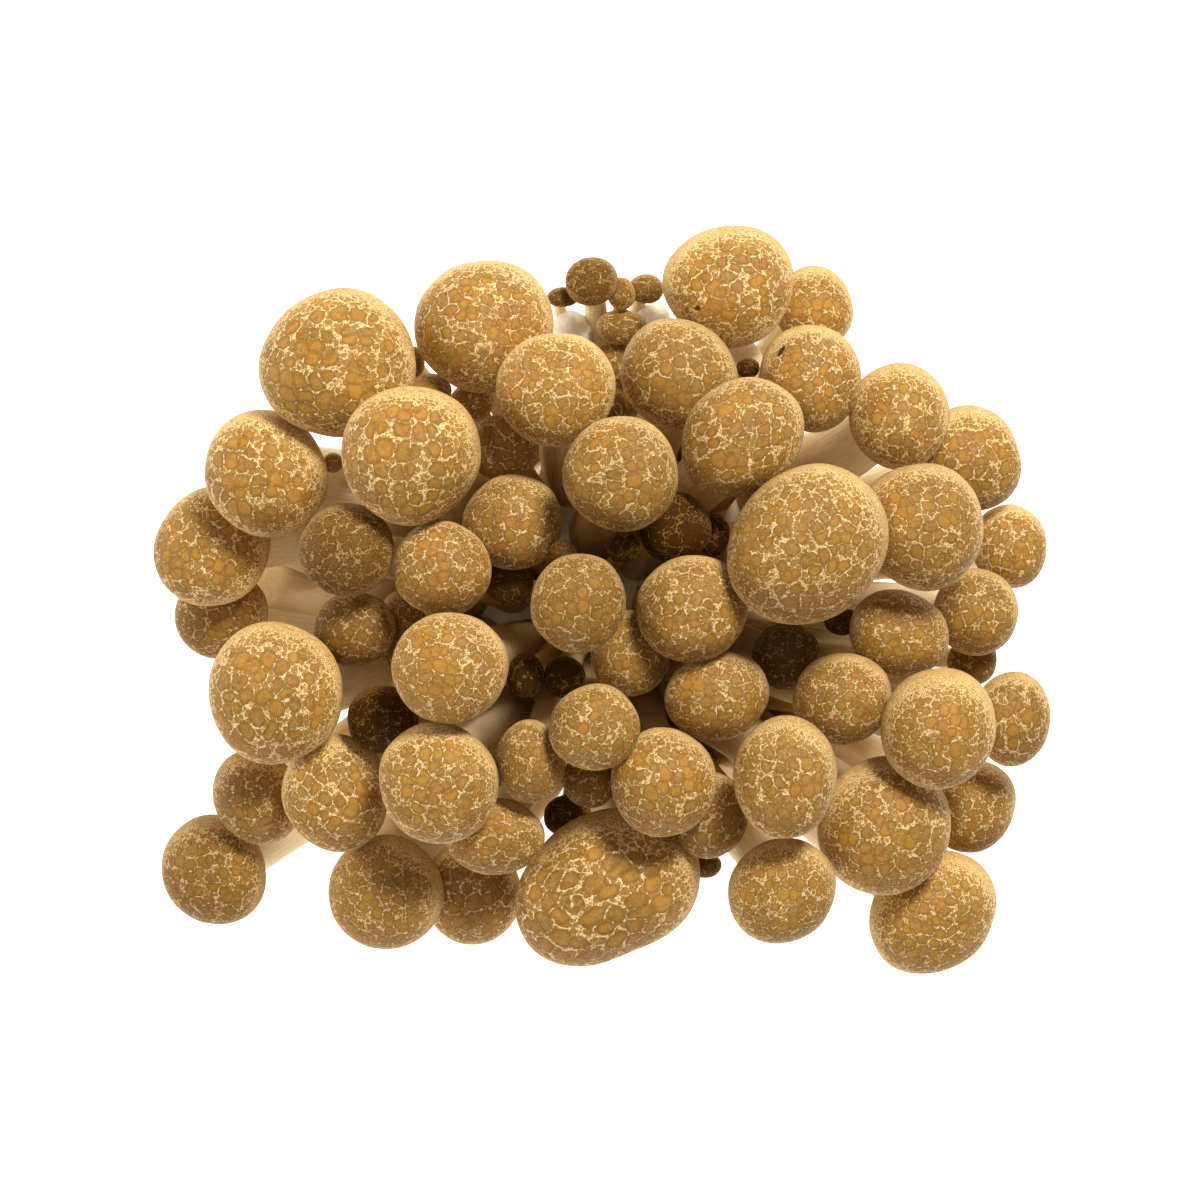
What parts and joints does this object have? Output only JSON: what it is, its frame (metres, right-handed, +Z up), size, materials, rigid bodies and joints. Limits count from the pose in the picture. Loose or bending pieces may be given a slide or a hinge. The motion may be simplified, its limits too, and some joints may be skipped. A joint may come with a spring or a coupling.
{
  "type": "beech mushroom cluster",
  "caption": "Upright bunch of beech mushrooms: small brown domed caps with gills, on pale stems grown together at one cut base.",
  "frame": {"origin": "middle of the flat cut face under the base, which the cluster stands on", "axes": "+Z up along the bunch, +X along the long side of the cluster as seen from above"},
  "size_m": [0.123, 0.1027, 0.0754],
  "materials": {
    "cap_skin": "matte, velvety brown skin with a net of pale lines",
    "stem_flesh": "matte cream flesh with fine lengthwise fibres"
  },
  "bodies": {
    "root": {"cap_01": "cap_skin", "cap_02": "cap_skin", "cap_03": "cap_skin", "cap_04": "cap_skin", "cap_05": "cap_skin", "cap_06": "cap_skin", "cap_07": "cap_skin", "cap_08": "cap_skin", "cap_09": "cap_skin", "cap_10": "cap_skin", "cap_11": "cap_skin", "cap_12": "cap_skin", "cap_13": "cap_skin", "cap_14": "cap_skin", "cap_15": "cap_skin", "cap_16": "cap_skin", "cap_17": "cap_skin", "cap_18": "cap_skin", "cap_19": "cap_skin", "cap_20": "cap_skin", "cap_21": "cap_skin", "cap_22": "cap_skin", "cap_23": "cap_skin", "cap_24": "cap_skin", "cap_25": "cap_skin", "cap_26": "cap_skin", "cap_27": "cap_skin", "cap_28": "cap_skin", "cap_29": "cap_skin", "cap_30": "cap_skin", "cap_31": "cap_skin", "cap_32": "cap_skin", "cap_33": "cap_skin", "cap_34": "cap_skin", "cap_35": "cap_skin", "cap_36": "cap_skin", "cap_37": "cap_skin", "cap_38": "cap_skin", "cap_39": "cap_skin", "cap_40": "cap_skin", "cap_41": "cap_skin", "cap_42": "cap_skin", "cap_43": "cap_skin", "cap_44": "cap_skin", "cap_45": "cap_skin", "cap_46": "cap_skin", "cap_47": "cap_skin", "cap_48": "cap_skin", "cap_49": "cap_skin", "cap_50": "cap_skin", "cap_51": "cap_skin", "cap_52": "cap_skin", "cap_53": "cap_skin", "cap_54": "cap_skin", "cap_55": "cap_skin", "cap_56": "cap_skin", "cap_57": "cap_skin", "cap_58": "cap_skin", "cap_59": "cap_skin", "stems_and_base": "stem_flesh"}
  },
  "joints": []
}
